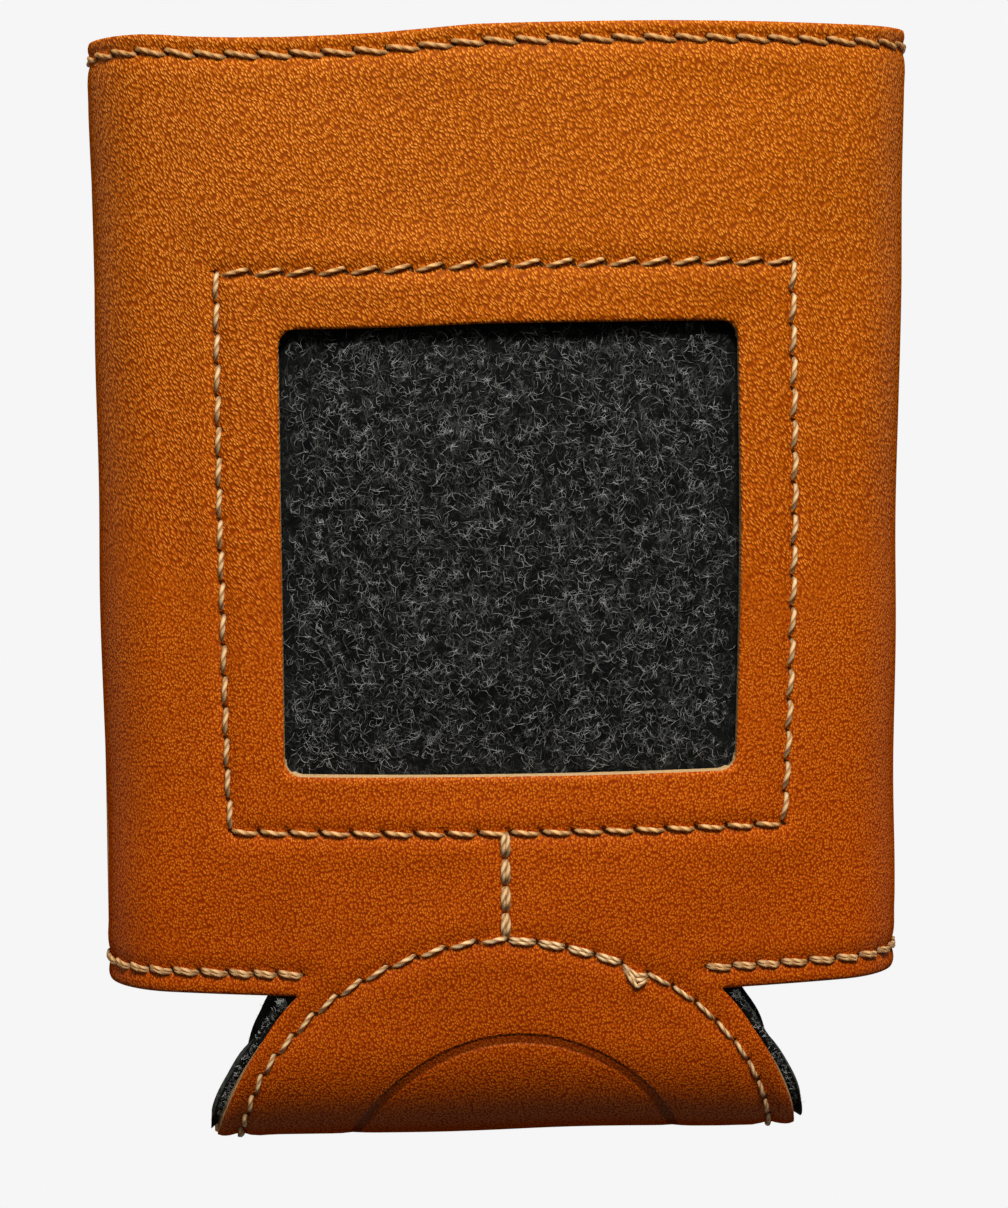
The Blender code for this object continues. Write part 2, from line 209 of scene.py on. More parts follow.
def pattern_grid(margin, rim_line, coarse, fine, has_window):
    """Flat cut of a layer as arrays: across, along, quads, triangles.

    Rows run across the whole pattern. The columns of the base are those of the walls, drawn in
    to the oval's width. The window is left out, with a fan of cells to each round corner.
    """
    row_keys = [NECK_LENGTH, BOTTOM_ROW, FRAME_BOTTOM, WINDOW_BOTTOM,
                WINDOW_BOTTOM + WINDOW_CORNER_RADIUS, WINDOW_TOP - WINDOW_CORNER_RADIUS,
                WINDOW_TOP, FRAME_TOP, RIM_ROW, rim_line]
    front_rows = graded(row_keys, coarse, fine)
    back_keys = [NECK_LENGTH, BOTTOM_ROW, RIM_ROW, rim_line]
    back_rows = graded(back_keys, 2 * coarse, fine)
    tab_rows = graded([-NECK_LENGTH, NECK_LENGTH], 0.6 * coarse, fine)
    rows = np.concatenate([-back_rows[:0:-1], tab_rows, front_rows[1:]])
    inner_keys = [0, WINDOW_HALF - WINDOW_CORNER_RADIUS, WINDOW_HALF]
    inner = graded(inner_keys, coarse, fine, [0, WINDOW_HALF]) / WINDOW_HALF
    outer = graded([WINDOW_HALF, FRAME_HALF, SEAM_EDGE], coarse, fine)[1:]
    outer = (outer - WINDOW_HALF) / (SEAM_EDGE - WINDOW_HALF)

    neck_half = disc_half_width(NECK_LENGTH, margin)
    on_tab = np.abs(rows) < NECK_LENGTH - 1e-6
    wall_half = np.interp(np.abs(rows), [NECK_LENGTH, WINDOW_BOTTOM], [neck_half, WINDOW_HALF])
    half = np.where(on_tab, disc_half_width(rows, margin), wall_half)[:, None]
    right = np.concatenate([half * inner, half + (SEAM_EDGE - half) * outer], axis=1)
    across = np.concatenate([-right[:, :0:-1], right], axis=1)
    along = np.repeat(rows[:, None], across.shape[1], axis=1)

    middle = right.shape[1] - 1
    last = len(inner) - 1
    column = np.arange(across.shape[1]) - middle
    index = np.arange(across.size).reshape(across.shape)
    cells = np.stack([index[:-1, :-1], index[:-1, 1:], index[1:, 1:], index[1:, :-1]], axis=-1)
    inside = (column[:-1] >= -last) & (column[:-1] < last)
    keep = inside[None, :] | ~(on_tab[:-1] | on_tab[1:])[:, None]
    across, along, triangles = across.ravel(), along.ravel(), np.zeros((0, 3), int)
    if not has_window:
        return across, along, cells[keep], triangles

    hole_rows = (rows[:-1] > WINDOW_BOTTOM - 1e-6) & (rows[1:] < WINDOW_TOP + 1e-6)
    quads = [cells[keep & ~(hole_rows[:, None] & inside[None, :])]]
    bottom, low, high, top = (int(np.argmin(np.abs(rows - line))) for line in row_keys[3:7])
    turned = int(np.argmin(np.abs(inner * WINDOW_HALF - inner_keys[1])))
    for row, far_row in ((bottom, low), (top, high)):
        step = np.sign(far_row - row)
        for side in (-1, 1):
            level = index[row, middle + side * np.arange(turned, last + 1)]
            upright = index[np.arange(row, far_row, step) + step, middle + side * last]
            edge = np.concatenate([level, upright])
            angle = np.linspace(0, np.pi / 2, len(edge))[1:-1]
            arc = len(across) + np.arange(len(angle))
            sweep = WINDOW_CORNER_RADIUS * np.sin(angle), WINDOW_CORNER_RADIUS * np.cos(angle)
            across = np.append(across, across[level[0]] + side * sweep[0])
            along = np.append(along, along[upright[-1]] - step * sweep[1])
            strip = np.stack([edge[1:-2], edge[2:-1], arc[1:], arc[:-1]], axis=-1)
            ends = np.array([[edge[0], edge[1], arc[0]], [edge[-2], edge[-1], arc[-1]]])
            if side * step < 0:
                strip, ends = strip[:, ::-1], ends[:, ::-1]
            quads.append(strip)
            triangles = np.concatenate([triangles, ends])
    return across, along, np.concatenate(quads), triangles


def face_corners(quads, triangles):
    """Point numbers of all face corners, and the count of corners of each face."""
    corners = np.concatenate([quads.ravel(), triangles.ravel()])
    return corners, np.repeat([4, 3], [len(quads), len(triangles)])


def make_mesh(name, points, quads, triangles, **point_values):
    """Smooth-shaded mesh from arrays of points and faces, with a named value for each point."""
    mesh = bpy.data.meshes.new(name)
    corners, sizes = face_corners(quads, triangles)
    mesh.vertices.add(len(points))
    mesh.vertices.foreach_set("co", points.ravel())
    mesh.loops.add(len(corners))
    mesh.loops.foreach_set("vertex_index", corners)
    mesh.polygons.add(len(sizes))
    mesh.polygons.foreach_set("loop_start", running_sum(sizes)[:-1])
    mesh.update(calc_edges=True)
    mesh.shade_smooth()
    for label, values in point_values.items():
        mesh.attributes.new(label, "FLOAT", "POINT").data.foreach_set("value", values)
    return mesh


def layer_mesh(name, across, along, quads, triangles, outer_depth, inner_depth, levels, flare):
    """Closed mesh of a layer: outer skin, cut edge in rings at the levels, inner skin.

    The depth of each skin and the flare, by which a cut edge slopes outward, or inward where it is
    less than 0, on its way in, are arrays over the flat points. The flat points, the face corners
    and the faces' corner counts come back too, for UV maps.
    """
    used = np.unique(face_corners(quads, triangles)[0])
    quads, triangles = (np.searchsorted(used, faces) for faces in (quads, triangles))
    across, along, outer_depth, inner_depth, flare = (
        values[used] for values in (across, along, outer_depth, inner_depth, flare))
    count = len(used)

    sides = np.concatenate([np.stack([faces, np.roll(faces, -1, 1)], axis=-1).reshape(-1, 2)
                            for faces in (quads, triangles)])
    forward = sides[:, 0] * count + sides[:, 1]
    backward = sides[:, 1] * count + sides[:, 0]
    rim = sides[~np.isin(forward, backward)]
    on_rim = np.unique(rim)
    outward = np.stack([
        np.bincount(rim.ravel(), np.repeat(np.diff(values[rim]), 2), count)
        for values in (along, -across)])
    outward = outward / np.maximum(np.hypot(*outward), 1e-9) * flare
    skin = np.arange(count)
    rings = [(0.0, skin), *((level, on_rim) for level in levels), (1.0, skin)]
    points_across, points_along, depths = (
        np.concatenate([values[at] + level * change[at] for level, at in rings])
        for values, change in ((across, outward[0]), (along, outward[1]),
                               (outer_depth, inner_depth - outer_depth)))
    inner_start = count + len(on_rim) * len(levels)
    rim_at = np.searchsorted(on_rim, rim)
    loops = [rim, *(rim_at + start for start in range(count, inner_start, len(on_rim))),
             rim + inner_start]
    walls = [np.stack([upper[:, 1], upper[:, 0], lower[:, 0], lower[:, 1]], axis=-1)
             for upper, lower in zip(loops, loops[1:])]
    quads = np.concatenate([quads, *walls, quads[:, ::-1] + inner_start])
    triangles = np.concatenate([triangles, triangles[:, ::-1] + inner_start])

    mesh = make_mesh(name, place(*handmade(points_across, points_along), depths), quads, triangles,
                     cut_edge=(np.arange(len(depths)) >= count).astype(float))
    return mesh, points_across, points_along, *face_corners(quads, triangles)


def add_uv(mesh, name, u, v):
    """UV map from one value pair for each face corner."""
    layer = mesh.uv_layers.new(name=name)
    layer.data.foreach_set("uv", np.stack([u, v], axis=-1).ravel())


def add_piece(name, mesh, material, slot, *nodes):
    """Put a finished mesh in the scene in place of its frame nodes."""
    piece = bpy.data.objects.new(name, mesh)
    bpy.context.scene.collection.objects.link(piece)
    mesh.materials.append(material)
    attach(piece, "root")
    if nodes:
        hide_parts(*nodes)
    return piece


def circle_drift(across, along):
    """Outward drift of the hand-sewn circle at each bearing, straight between measured places."""
    bearing = np.degrees(np.arctan2(across, along))
    return np.interp(
        bearing, (-100, -74, -59, -42, -30, -18, -3, 5, 16, 28, 40, 51, 74, 100),
        (0, 0.00026, 0.00050, 0, -0.00030, -0.00020, 0.00025, -0.00010, -0.00070, -0.00075,
         -0.00040, -0.00015, -0.00025, 0))


def oval_route(steps_per_stitch):
    """Points round the base circle, evenly spaced along its oval, starting on the front."""
    angle = np.linspace(0, 2 * np.pi, 1441)
    across, along = (
        (half - CIRCLE_MARGIN) * np.sign(wave) * np.abs(wave) ** (2 / DISC_SQUARENESS)
        for half, wave in ((DISC_HALF_WIDTH, np.sin(angle)), (DISC_HALF_LENGTH, np.cos(angle))))
    run = running_sum(np.hypot(np.diff(across), np.diff(along)))
    stitches = 2 * round(run[-1] / STITCH_PITCH / 2)
    share = np.linspace(0, 1, steps_per_stitch * stitches + 1)
    slip = np.interp(share, (0, 0.5, 0.96, 1), (-0.0005, -0.0005, -0.0009, -0.0005))
    marks = share * run[-1] + slip
    across = np.interp(marks, run, across, period=run[-1])
    along = np.interp(marks, run, along, period=run[-1])
    drift = circle_drift(across, along) / np.hypot(across, along)
    return across * (1 + drift), along * (1 + drift), stitches


# Each row of holes gives, for flat points, the count of stitches along it and the distance across
# it. Rows on the walls are straight on the flat pattern, and the base circle follows its oval.
CIRCLE_TOP = DISC_HALF_LENGTH - CIRCLE_MARGIN
RING_CENTRE = (0.0008, 0.0028)
RING_RADIUS = 0.0206
CONNECTOR_ACROSS = -0.0007
LEFT_ROW_SHIFT = 0.00135
RIM_PHASE = 0.0013
ROW_START = float(disc_half_width(NECK_LENGTH, 0)) - NECK_OVERLAP
RIM_STITCHES = 60
FRAME_STITCHES = 18
BOTTOM_STITCHES = 19
CONNECTOR_STITCHES = 4
top_left, top_right = (-FRAME_HALF, FRAME_TOP), (FRAME_HALF, FRAME_TOP)
bottom_left, bottom_right = (-FRAME_HALF, FRAME_BOTTOM), (FRAME_HALF, FRAME_BOTTOM)
connector_ends = (CONNECTOR_ACROSS, FRAME_BOTTOM), (CONNECTOR_ACROSS, CIRCLE_TOP)
rim_ends = RIM_PHASE - HALF_GIRTH, RIM_PHASE + HALF_GIRTH


def row_values(ahead, beside, length, stitches, lean, closed=False):
    """Stitch count, sideways distance in stitches and plain distance, from distances in metres.

    Past the ends of a row the sideways distance grows fourfold, so that no hole shows there.
    """
    past = np.where(closed, 0, np.clip(np.maximum(-ahead, ahead - length), 0, None))
    pitch = length / stitches
    sideways = lean * beside
    return ahead / pitch, (sideways + 4 * np.sign(sideways) * past) / pitch, np.hypot(beside, past)


def straight_row(across, along, start, end, stitches, lean):
    """The values of a straight row between two flat points."""
    direction = np.subtract(end, start)
    length = np.hypot(*direction)
    sine, cosine = direction / length
    across, along = across - start[0], along - start[1]
    return row_values(across * sine + along * cosine, along * sine - across * cosine, length,
                      stitches, lean)


def girth_row(across, along, line, start, end, stitches, lean):
    """The same for a row that runs round the section, counted along its path length."""
    closed = end - start > 1.99 * HALF_GIRTH
    side = np.where(closed | (across >= 0), 1.0, -1.0)
    path = np.where(along >= 0, across, np.sign(across) * HALF_GIRTH - across) * side
    return row_values(path - start, np.abs(along) - line, end - start, stitches, lean, closed)


def circle_row(across, along):
    """The same for the base circle, with the count read from the direction of each point."""
    route_across, route_along, stitches = oval_route(8)
    bearing = np.unwrap(np.arctan2(route_across, route_along))
    angle = (np.arctan2(across, along) - bearing[0]) % (2 * np.pi) + bearing[0]
    count = np.interp(angle, bearing, np.linspace(0, stitches, len(bearing)))
    beside = CIRCLE_MARGIN - disc_distance(across, along) - circle_drift(across, along)
    return count, beside / STITCH_PITCH, np.abs(beside)


def all_rows(across, along):
    """Stitch counts, sideways distances and plain distances, an array of each row of stitches."""
    rows = []
    for start, end, stitches, lean in (
            (top_left, top_right, FRAME_STITCHES, 1),
            (bottom_left, bottom_right, FRAME_STITCHES, 1),
            (top_left, bottom_left, FRAME_STITCHES, -1),
            (top_right, bottom_right, FRAME_STITCHES, -1),
            (*connector_ends, CONNECTOR_STITCHES, -1)):
        count, beside, far = straight_row(across, along, start, end, stitches, lean)
        rows.append((count, beside, np.where(along > 0, far, 1.0)))
    rows.append(girth_row(across, along, RIM_ROW, *rim_ends, RIM_STITCHES, 1))
    row_start = ROW_START + LEFT_ROW_SHIFT * (across < 0)
    rows.append(girth_row(across, along, BOTTOM_ROW, row_start, HALF_GIRTH - row_start,
                          BOTTOM_STITCHES, -1))
    rows.append(circle_row(across, along))
    return [np.array(column) for column in zip(*rows)]


# The two rows that close on themselves, by their places in all_rows.
RIM_ROW_NUMBER = 5
CIRCLE_ROW_NUMBER = 7


def leather_relief(across, along):
    """Depth of the leather's face below its plain form.

    The edges are rounded over, the leather sinks under each row of stitches and swells on both
    sides of it, a plain ring is pressed into the base, and wide shallow dents cross the front.
    """
    reach = np.abs(along)
    front = along > 0
    past_corner = [np.clip(distance + WINDOW_CORNER_RADIUS, 0, None) for distance in (
        np.abs(across) - WINDOW_HALF, np.abs(along - WINDOW_MIDDLE) - WINDOW_HEIGHT / 2)]
    to_window = np.where(front, np.hypot(*past_corner) - WINDOW_CORNER_RADIUS, 1.0)
    past_neck = np.abs(across) > disc_half_width(NECK_LENGTH, 0)
    beside_neck = np.where(past_neck, reach - NECK_LENGTH, 1.0)
    to_outline = np.where(reach < NECK_LENGTH, disc_distance(across, along), beside_neck)
    to_edge = np.min([np.abs(to_window), RIM_LINE - reach, np.abs(to_outline)], axis=0)
    shoulder = 0.00022 * np.clip(1 - to_edge / 0.0009, 0, 1) ** 2
    nearest = all_rows(across, along)[2].min(axis=0)
    groove = 0.00034 * bump(nearest, 0.0009) - 0.00010 * bump(nearest - 0.0026, 0.0014)
    to_ring = np.hypot(across - RING_CENTRE[0], along - RING_CENTRE[1]) - RING_RADIUS
    ring = 0.00016 * bump(to_ring, 0.0011) + 0.00006 * smooth(-to_ring / 0.002)
    dents = (0.00022 * np.sin(across / 0.0081 + 1.3 * np.sin(along / 0.013))
             * np.sin(along / 0.0113 + 0.7 + np.sin(across / 0.017)))
    return shoulder + groove + ring + dents * smooth((nearest - 0.001) / 0.006) * front


class Value:
    """An output in a node tree. Arithmetic with numbers or other values adds Math nodes."""

    def __init__(self, tree, socket):
        self.tree = tree
        self.socket = socket

    def __add__(self, other):
        return math(self.tree, "ADD", self, other)

    def __sub__(self, other):
        return math(self.tree, "SUBTRACT", self, other)

    def __rsub__(self, other):
        return math(self.tree, "SUBTRACT", other, self)

    def __mul__(self, other):
        return math(self.tree, "MULTIPLY", self, other)

    def __truediv__(self, other):
        return math(self.tree, "DIVIDE", self, other)

    def __abs__(self):
        return math(self.tree, "ABSOLUTE", self)


def fill(made, inputs):
    """Link values to the inputs of a node, by name or number, and set plain numbers on them."""
    for name, value in inputs.items():
        if isinstance(value, Value):
            value.tree.links.new(value.socket, made.inputs[name])
        else:
            made.inputs[name].default_value = value


def node(tree, kind, inputs=None, output=0, **settings):
    """Add a shader node, set its options, fill its inputs and give one of its outputs."""
    made = tree.nodes.new("ShaderNode" + kind)
    for name, value in settings.items():
        setattr(made, name, value)
    fill(made, inputs or {})
    return Value(tree, made.outputs[output])


def math(tree, operation, first, second=0.0):
    """Result of one Math node."""
    return node(tree, "Math", {0: first, 1: second}, operation=operation)


def ramp(value, low, high):
    """Smooth step of a value between two limits, from 0 to 1."""
    return node(value.tree, "MapRange", {"Value": value, "From Min": low, "From Max": high},
                interpolation_type="SMOOTHSTEP")


def blend(share, first, second):
    """Colour between the first and the second."""
    return node(share.tree, "Mix", {0: share, 6: first, 7: second}, 2, data_type="RGBA")


def shaded(colour, factor):
    """Colour times a factor."""
    return node(colour.tree, "Mix", {0: 1.0, 6: colour, 7: factor}, 2, data_type="RGBA",
                blend_type="MULTIPLY")


def part_of(vector, axis):
    """One component of a vector or colour."""
    return node(vector.tree, "SeparateXYZ", {0: vector}, axis)


def noise(at, scale, detail, roughness=0.5, distortion=0.0, output=0):
    """Noise texture at a vector."""
    inputs = {"Vector": at, "Scale": scale, "Detail": detail, "Roughness": roughness,
              "Distortion": distortion}
    return node(at.tree, "TexNoise", inputs, output)


def raised(height, distance, strength=1.0, over=None, invert=False):
    """Normal of a surface raised, or sunk, by a height, over another normal if one is given."""
    inputs = {"Height": height, "Distance": distance, "Strength": strength}
    return node(height.tree, "Bump", inputs | ({"Normal": over} if over else {}), invert=invert)


def new_material(name):
    """Material with its tree, its Principled BSDF and its object coordinates."""
    material = bpy.data.materials.new(name)
    material.use_nodes = True
    tree = material.node_tree
    return material, tree, tree.nodes["Principled BSDF"], node(tree, "TexCoord", output="Object")


# Uneven tint: dye and wear are never even, so leather, felt and thread share this drift of tone.
tint_group = bpy.data.node_groups.new("uneven_tint", "ShaderNodeTree")
for kind, label in (("Vector", "Vector"), ("Float", "Patch Size"), ("Float", "Strength")):
    tint_group.interface.new_socket(label, in_out="INPUT", socket_type="NodeSocket" + kind)
tint_group.interface.new_socket("Factor", in_out="OUTPUT", socket_type="NodeSocketFloat")
tint_in = tint_group.nodes.new("NodeGroupInput").outputs
tint_at, tint_patch, tint_strength = (Value(tint_group, socket) for socket in tint_in[:3])
tint_noise = noise(tint_at, math(tint_group, "DIVIDE", 1.0, tint_patch), 4.0, 0.55)
fill(tint_group.nodes.new("NodeGroupOutput"),
     {"Factor": (tint_noise - 0.5) * (tint_strength * 2.0) + 1.0})


def tint(at, patch, strength):
    """Brightness factor of the uneven tint at one patch size."""
    placed = at.tree.nodes.new("ShaderNodeGroup")
    placed.node_tree = tint_group
    fill(placed, {"Vector": at, "Patch Size": patch, "Strength": strength})
    return Value(at.tree, placed.outputs["Factor"])


# Metres of the flat pattern in one unit of its UV map.
UV_SIZE = 0.1


def leather_material():
    """Tan leather: pebbled grain with creases, pricked holes, a pressed ring and raw cut edges.

    The grain is two sets of Voronoi cells over a warped pattern, slanted long ones and rounder
    pebbles, that take turns over wide regions. The tops of the cells are painted lighter, as
    painted sheen, and are less rough, and the creases between them are painted darker, as painted
    shade.
    Small painted highlights sit on some tops.
    """
    material, tree, shader, place_xyz = new_material("tan_leather")
    flat = node(tree, "UVMap", uv_map="flat_pattern")
    height_up = part_of(flat, 1)
    shift = node(tree, "VectorMath", {0: noise(flat, 60.0, 3.0, output=1), 1: (0.5, 0.5, 0.5)},
                 operation="SUBTRACT")
    moved = node(tree, "VectorMath", {0: shift, 1: (0.007, 0.007, 0.0), 2: flat},
                 operation="MULTIPLY_ADD")
    slanted, upright = (
        node(tree, "Mapping", {"Vector": moved, "Rotation": (0, 0, turn), "Scale": (1, stretch, 1)},
             vector_type="TEXTURE") for turn, stretch in ((0.55, 2.2), (0.15, 1.35)))
    long_far, pebble_far = (
        node(tree, "TexVoronoi", {"Vector": at, "Scale": scale, "Smoothness": smoothness},
             feature="SMOOTH_F1", voronoi_dimensions="2D")
        for at, scale, smoothness in ((slanted, 350.0, 0.25), (upright, 345.0, 0.20)))
    long_colour, pebble_colour = (Value(tree, far.socket.node.outputs["Color"])
                                  for far in (long_far, pebble_far))
    choice = ramp(ramp(height_up, 0.62, 1.02) * 0.55 + noise(flat, 5.0, 3.0), 0.55, 0.90)
    cells = (long_far - pebble_far) * choice + pebble_far
    chance = part_of(blend(choice, pebble_colour, long_colour), 0)
    tops = ramp(cells, 0.76, 0.05)
    painted_glints = ramp(cells, 0.38, 0.10) * ramp(chance, 0.15, 0.80)
    fine = noise(slanted, 900.0, 2.0, 0.6)
    wrinkle = noise(slanted, 110.0, 2.0)

    stitch = node(tree, "UVMap", uv_map="stitch_holes")
    beside = part_of(stitch, 1)
    turn = math(tree, "FRACT", part_of(stitch, 0) + 0.5) - 0.5
    slot_length = (turn - beside) / 0.22
    slot_width = (turn + beside) / 0.095
    slot = math(tree, "SQRT", slot_length * slot_length + slot_width * slot_width)
    hole = 1 - ramp(slot, 0.60, 1.05)
    pucker = 1 - ramp(slot, 0.8, 2.2)
    centre = (RING_CENTRE[0] / UV_SIZE, RING_CENTRE[1] / UV_SIZE, 0.0)
    mark = node(tree, "VectorMath", {0: flat, 1: centre}, "Value", operation="DISTANCE")
    channel = ramp(abs(mark - RING_RADIUS / UV_SIZE), 0.0085, 0.0040)

    lift = ramp(height_up, 0.25, 1.35)
    # Painted shade and sheen: the creases are painted darker and the cell tops lighter, and the
    # painted highlight colour is laid on some tops.
    creases = blend(lift, (0.29, 0.025, 0.0002, 1), (0.28, 0.042, 0.0004, 1))
    ridges = blend(lift, (0.60, 0.098, 0.001, 1), (0.56, 0.132, 0.002, 1))
    painted_shine = blend(lift, (0.90, 0.24, 0.012, 1), (0.98, 0.34, 0.045, 1))
    base = blend(painted_glints * 0.85, blend(tops, creases, ridges), painted_shine)
    patches = tint(flat, 0.25, 0.10) * tint(flat, 0.05, 0.08)
    # Painted shade: the base and the low walls are painted darker, as the shade where the fold
    # turns from the light.
    painted_base_shade = ramp(abs(height_up), 0.15, 0.55) * 0.15 + 0.85
    base = shaded(base, patches * (fine * 0.30 + 0.85) * painted_base_shade)
    # Painted shade: the pressed ring's channel, the leather round each stitch slot and the slot
    # itself are painted darker.
    base = blend(channel * 0.65, base, (0.09, 0.009, 0.0003, 1))
    base = blend(pucker * 0.45, base, (0.17, 0.022, 0.0005, 1))
    base = blend(hole, base, (0.030, 0.006, 0.001, 1))
    edge = ramp(node(tree, "Attribute", output="Fac", attribute_name="cut_edge"), 0.3, 0.8)
    raw = blend(noise(place_xyz, 2600.0, 4.0), (0.38, 0.22, 0.08, 1), (0.78, 0.52, 0.27, 1))
    height = (fine * 0.16 + tops + wrinkle * 0.4) * (choice * 0.45 + 0.55)
    forms = raised(pucker * 0.5 + hole + channel, 0.00020, invert=True)
    grazing = node(tree, "LayerWeight", {"Blend": 0.5}, "Facing")
    fill(shader, {"Base Color": blend(edge, base, raw),
                  "Normal": raised(height, 0.00009, over=forms),
                  "Roughness": edge * 0.25 + tops * -0.20 + 0.58,
                  "Specular IOR Level": ramp(grazing, 0.75, 0.25) * 0.28,
                  "Specular Tint": (1.0, 0.60, 0.22, 1)})
    return material


across, along, quads, triangles = pattern_grid(0, RIM_LINE, 0.00105, 0.0004, True)
at_window = ((along > WINDOW_BOTTOM - 0.001) & (along < WINDOW_TOP + 0.001)
             & (np.abs(across) < WINDOW_HALF + 0.001))
flare = np.select([at_window & (along < WINDOW_BOTTOM + 0.0005), at_window,
                   np.abs(along) < NECK_LENGTH - 0.0005], [0.00014, -0.00022, 0.00004], 0.0)
cover_mesh, flat_across, flat_along, corners, sizes = layer_mesh(
    "leather_cover_finish", across, along, quads, triangles, leather_relief(across, along),
    np.full(len(across), LEATHER_THICKNESS), [0.08, 0.45, 0.90], flare)
add_uv(cover_mesh, "flat_pattern", flat_across[corners] / UV_SIZE, flat_along[corners] / UV_SIZE)

face_of_corner = np.repeat(np.arange(len(sizes)), sizes)
face_middles = (np.bincount(face_of_corner, flat[corners]) / sizes
                for flat in (flat_across, flat_along))
row_of_corner = all_rows(*face_middles)[2].argmin(axis=0)[face_of_corner]
counts, besides, _ = all_rows(flat_across[corners], flat_along[corners])
corner_range = np.arange(len(corners))
count = counts[row_of_corner, corner_range]
first_count = count[running_sum(sizes)[:-1]][face_of_corner]
for wrap_row, wrap in ((CIRCLE_ROW_NUMBER, oval_route(1)[2]), (RIM_ROW_NUMBER, RIM_STITCHES)):
    wrapped = first_count + (count - first_count + wrap / 2) % wrap - wrap / 2
    count = np.where(row_of_corner == wrap_row, wrapped, count)
add_uv(cover_mesh, "stitch_holes", count, besides[row_of_corner, corner_range])
leather_cover = add_piece("leather_cover_finish", cover_mesh, leather_material(), "leather",
                          "leather_cover")
2 * SEAM_EDGE


# Felt lining: charcoal wool felt of the same cut without a window, a little larger at the base and
# the rim. It is sewn in behind the leather, swells a little into the window, and its edge is
# pinched thin where the base folds.
FELT_THICKNESS = 0.0024
LAYER_GAP = 0.0003
FELT_MARGIN = 0.0013
FELT_RIM_RISE = 0.0001
FELT_FACE = LEATHER_THICKNESS + LAYER_GAP
LINING_FACE = FELT_FACE + FELT_THICKNESS


def felt_relief(across, along):
    """Depth of the felt's face: it swells in the window and past the leather's edge on the base."""
    inward = np.minimum(WINDOW_HALF - np.abs(across),
                        WINDOW_HEIGHT / 2 - np.abs(along - WINDOW_MIDDLE))
    waves = 0.00016 * np.sin(across / 0.0047 + np.sin(along / 0.006)) * np.sin(along / 0.0052 + 1.0)
    past_leather = np.where(np.abs(along) < NECK_LENGTH, -disc_distance(across, along), -1.0)
    swell = (0.0006 * smooth((inward - 0.002) / 0.010)
             + 0.0015 * smooth((past_leather - 0.0001) / 0.0009))
    return FELT_FACE - swell + waves * smooth(inward / 0.004)


def felt_cut(across, along):
    """Pull the felt's outline in behind the base's fold, where it was cut closer."""
    trim = 0.0016 * bump(along + 0.007, 0.011)
    return across - np.sign(across) * trim * smooth((np.abs(across) - 0.030) / 0.007)


def felt_material():
    """Charcoal felt: dark matted wool under a tangle of lighter hairs.

    The hairs are the thin lines where a warped noise crosses its middle value, in several layers.
    """
    material, tree, shader, at = new_material("charcoal_felt")
    hairs = 0.0
    for layer, (scale, width) in enumerate(
            ((650.0, 0.020), (820.0, 0.024), (1000.0, 0.028), (560.0, 0.016))):
        moved = node(tree, "Mapping", {
            "Vector": at, "Location": (0.31 * layer, 0.17 * layer, 0.23 * layer),
            "Rotation": (0, 0, 0.8 * layer), "Scale": (1.0, 0.62, 1.0)})
        middle = abs(noise(moved, scale, 1.5, distortion=0.9) - 0.5)
        broken = ramp(noise(moved, 0.55 * scale, 2.0), 0.38, 0.66)
        line = (1 - ramp(middle, 0.25 * width, width)) * broken
        hairs = math(tree, "MAXIMUM", hairs, line)
    clumps = noise(at, 700.0, 3.0, 0.6)
    tone = ramp(clumps, 0.32, 0.70)
    matted = blend(tone, (0.0008, 0.0010, 0.0008, 1), (0.006, 0.0065, 0.006, 1))
    lighter = blend(tone, (0.020, 0.021, 0.019, 1), (0.065, 0.066, 0.060, 1))
    # Painted light: the felt's cut edge and inner face are painted lighter than its face.
    painted_edge_light = blend(tone, (0.024, 0.026, 0.022, 1), (0.090, 0.093, 0.082, 1))
    cut = node(tree, "Attribute", output="Fac", attribute_name="cut_edge")
    base = blend(cut * 0.9, blend(hairs, matted, lighter), painted_edge_light)
    fill(shader, {"Base Color": shaded(base, tint(at, 0.006, 0.30)),
                  "Normal": raised(hairs * 0.5 + clumps, 0.00025),
                  "Roughness": 0.95, "Specular IOR Level": 0.12})
    return material


across, along, quads, triangles = pattern_grid(
    FELT_MARGIN, RIM_LINE + FELT_RIM_RISE, 0.0018, 0.0009, False)
across = felt_cut(across, along)
pinched = (smooth((0.0195 - np.abs(along)) / 0.005)
           * smooth(1 - (disc_distance(across, along) + FELT_MARGIN) / 0.0036))
lining_mesh = layer_mesh(
    "felt_lining_finish", across, along, quads, triangles, felt_relief(across, along),
    LINING_FACE - 0.0017 * pinched, [0.12, 0.5, 0.88], np.zeros(len(across)))[0]
felt_lining = add_piece("felt_lining_finish", lining_mesh, felt_material(), "felt", "felt_lining")


# Loose fibres of the felt: curled wool hairs that stand a little off its face in the window and
# along its cut edge on the base. They are ends of the felt's own fibres.
def unit(vectors):
    """Vectors over their lengths."""
    return vectors / np.linalg.norm(vectors, axis=-1, keepdims=True)


def tube_mesh(name, paths, side, up, angle, radius, **point_values):
    """Closed tubes along paths, an array of strands, points and XYZ, with its quads and caps.

    Each path point has a ring of mesh points in the plane of its side and up directions, at
    radius (cos angle side + sin angle up). A fan of triangles closes each end.
    """
    ring = (np.cos(angle)[..., None] * side[:, :, None]
            + np.sin(angle)[..., None] * up[:, :, None]) * radius[..., None]
    points = (paths[:, :, None] + ring).reshape(-1, 3)
    count, length, sides = angle.shape
    start = (np.arange(count) * length * sides)[:, None, None]
    row = start + sides * np.arange(length - 1)[None, :, None]
    turn = np.arange(sides)
    after = (turn + 1) % sides
    quads = np.stack([row + turn, row + sides + turn, row + sides + after, row + after],
                     axis=-1).reshape(-1, 4)
    spoke = np.arange(1, sides - 1)
    fan = np.stack([0 * spoke, spoke, spoke + 1], axis=-1)
    caps = np.concatenate([(start + fan).reshape(-1, 3),
                           (start + sides * (length - 1) + fan[:, ::-1]).reshape(-1, 3)])
    return make_mesh(name, points, quads, caps, **point_values), quads, caps


